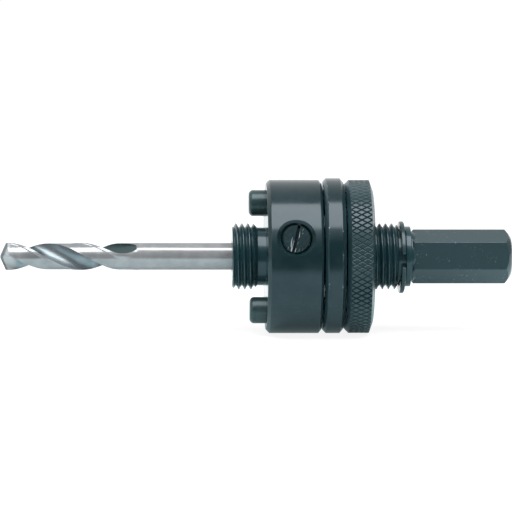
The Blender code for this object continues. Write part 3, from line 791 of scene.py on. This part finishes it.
bpy.ops.object.select_all(action="DESELECT")
bpy.ops.mesh.primitive_circle_add(vertices=2 * half_count, radius=mm, enter_editmode=True)
drill = bpy.context.object
drill.name = "pilot_drill_bright"
for number, section in enumerate(sections):
    if number:
        bpy.ops.mesh.extrude_region_move()
    shape = bmesh.from_edit_mesh(drill.data)
    if number == 0:
        layer = shape.verts.layers.int.new("place_in_section")
        for place, corner in enumerate(shape.verts):
            corner[layer] = place
    layer = shape.verts.layers.int["place_in_section"]
    for corner in shape.verts:
        if corner.select:
            corner.co = section[corner[layer]]
    bmesh.update_edit_mesh(drill.data)
bpy.ops.mesh.edge_face_add()
bpy.ops.mesh.select_all(action="SELECT")
bpy.ops.mesh.remove_doubles(threshold=1e-7)
face_outwards()
settle(drill, on_axis)
smooth(drill, 24.0)

land_dark = (0.255, 0.268, 0.278, 1)
land_light = (0.315, 0.324, 0.333, 1)
groove_dark = (0.19, 0.225, 0.245, 1)
groove_light = (0.25, 0.285, 0.305, 1)
fresh_grey = (0.40, 0.43, 0.44, 1)
# Painted reflection: a dark wedge in the upper flute just above the lip, 5.6 to 11.6 mm behind the point;
# the next four numbers place it along the lip.
painted_flute_reflection_dark = (0.04, 0.055, 0.06, 1)
reflection_lip_height = 2.15
reflection_lip_from_point = 6.46
reflection_lip_slope = 0.514
reflection_lip_lean = 0.14
point_grey = (0.16, 0.185, 0.195, 1)
stain_black = (0.043, 0.064, 0.066, 1)
drill_finish, shader, place = new_finish("drill_bright_steel", 0.5)
shader.inputs["Specular IOR Level"].default_value = 0.0
shader.inputs["Specular Tint"].default_value = (0.35, 0.4, 0.42, 1)
along, y, z = place.apart()
z = z - axis_z
radius = (y * y + z * z) ** 0.5
from_point = along / mm - drill_front
grinding = place.add("ShaderNodeCombineXYZ", {}, {"X": along}).noise(9000.0, 3.0, 0.7)
smudges = place.noise(420.0, 4.0, 0.6)
smudged = smudges.between(0.3, 0.75)
land = smudged.blend(land_dark, land_light)
groove = smudged.blend(groove_dark, groove_light)
in_flute = 1 - radius.between(0.955 * drill_radius * mm, 0.965 * drill_radius * mm)
fresh = in_flute * (1 - from_point.between(2.2, 4.6))
stained = in_flute * from_point.between(full_to, full_to + 2.5)
# Painted reflection: the dark wedge in the upper flute above the lip line, standing in for the dark the
# flute's wall mirrors there.
above_lip = (z + y * reflection_lip_lean) / mm - reflection_lip_height + (from_point - reflection_lip_from_point) * reflection_lip_slope
painted_flute_reflection = in_flute * z.between(0, 0.3 * mm) * (1 - above_lip.between(0.7, 1.3))
painted_flute_reflection = painted_flute_reflection * from_point.between(5.6, 6.5) * (1 - from_point.between(9.2, 11.6))
point_face = 1 - (from_point - radius / mm * point_cone).between(0.35, 0.6)
steel = fresh.blend(in_flute.blend(land, groove), fresh_grey)
steel = point_face.blend(painted_flute_reflection.blend(steel, painted_flute_reflection_dark), point_grey)
feed(shader,
     Base_Color=stained.blend(steel, stain_black),
     Metallic=0.52 + in_flute * 0.13 - stained * 0.45 - fresh * 0.35,
     Roughness=0.14 + smudges.between(0.35, 0.8) * 0.08 + in_flute * 0.18 + stained * 0.2,
     Normal=(grinding * 0.6 + place.noise(6000.0, 2.0) * 0.4).bump(0.14, 0.01 * mm))
dress(drill, drill_finish, "pilot_drill", "bright_tool_steel", "pilot_drill")


# Studio: the arbor lies on a wide white table under one large overhead softbox, in a pale
# room, and is seen through a long lens from a little above and a touch from the drill's side.
photo_pixels = 512
focal_pixels = 4028
sensor_width = 36
camera_reach = 0.95
camera_up = math.radians(8)
camera_turn = math.radians(2)
view_from = Vector((-math.sin(camera_turn) * math.cos(camera_up),
                    -math.cos(camera_turn) * math.cos(camera_up), math.sin(camera_up)))
bpy.ops.object.select_all(action="DESELECT")
bpy.ops.object.camera_add()
camera = bpy.context.object
camera.data.sensor_width = sensor_width
camera.data.lens = focal_pixels / photo_pixels * sensor_width
camera.data.clip_start = 0.01
camera.data.clip_end = 20
looks_at = Vector((0, 0, axis_z + 0.1 * mm))
right = (Vector((1, 0, 0)) - view_from * view_from.x).normalized()
turn = Matrix((right, view_from.cross(right), view_from)).transposed().to_4x4()
camera.matrix_world = Matrix.Translation(looks_at + view_from * camera_reach) @ turn
bpy.context.scene.camera = camera

bpy.ops.mesh.primitive_plane_add(size=5, location=(0, 0, 0))
table = bpy.context.object
table.name = "white_table"
# The steel mirrors the table dark in front, teal under the arbor and white behind it.
white_paint = (0.9, 0.9, 0.9, 1)
teal_shade = (0.58, 0.76, 0.79, 1)
front_shade = (0.03, 0.04, 0.045, 1)
white_light = (1, 1, 1, 1)
teal_light = (0.72, 0.93, 0.96, 1)
table_finish, shader, place = new_finish("white_table_paint", 0.0)
shader.inputs["Roughness"].default_value = 0.9
shader.inputs["Specular IOR Level"].default_value = 0.2
away = place.apart()[1]
past_front = away.between(-0.125, -0.05)
behind = away.between(0.02, 0.06)
seen = place.add("ShaderNodeLightPath", {}, {})
mirrored = place.add("ShaderNodeLightPath", {}, {}, out="Is Glossy Ray")
paint = (mirrored * (1 - behind)).blend(white_paint, teal_shade)
feed(shader, Base_Color=(mirrored * (1 - past_front)).blend(paint, front_shade))
glow = place.add("ShaderNodeEmission", {}, {
    "Color": mirrored.blend(white_light, teal_light),
    "Strength": seen * 1.1 + mirrored * past_front * 1.2})
mix = place.add("ShaderNodeMixShader", {}, {
    0: seen * 0.8 + mirrored * 0.27, 1: Tone(place.tree, shader.outputs[0]), 2: glow})
place.tree.links.new(mix.socket, place.tree.nodes["Material Output"].inputs[0])
table.data.materials.append(table_finish)

softbox_width = 2.2
softbox_depth = 0.88
softbox_watts = 17.0 * softbox_width * softbox_depth
bpy.ops.object.light_add(type="AREA", location=(0, -0.39, 1.0))
softbox = bpy.context.object
softbox.data.shape = "RECTANGLE"
softbox.data.size = softbox_width
softbox.data.size_y = softbox_depth
softbox.data.energy = softbox_watts

world = bpy.data.worlds.new("pale_room")
bpy.context.scene.world = world
world.use_nodes = True
tree = world.node_tree
heading = Tone(tree).add("ShaderNodeTexCoord", {}, {}, out="Generated")
x, y, height = heading.apart()
angle = height.maths("ARCTAN2", height, 0 - y) / math.pi
# The room's brightness over an arc: 0 is level towards the viewer, 0.5 overhead, 1 level beyond.
walls = ((0.15, 0.04), (0.2, 0.55), (0.27, 1.15), (0.53, 0.6), (0.62, 0.62), (0.74, 0.86), (0.97, 1.0))
room = angle.add("ShaderNodeValToRGB", {
    "stops": [(position, (level, level, level, 1)) for position, level in walls]}, {"Fac": angle})
room = room * (1 - x.between(0.25, 0.8) * 0.75)
seen = heading.add("ShaderNodeLightPath", {}, {})
mirrored = heading.add("ShaderNodeLightPath", {}, {}, out="Is Glossy Ray")
strength = seen.most(mirrored * room) + (1 - seen.most(mirrored)) * 0.45
tree.links.new(strength.socket, tree.nodes["Background"].inputs["Strength"])
tree.nodes["Background"].inputs["Color"].default_value = white_light

bpy.context.scene.view_settings.view_transform = "Standard"
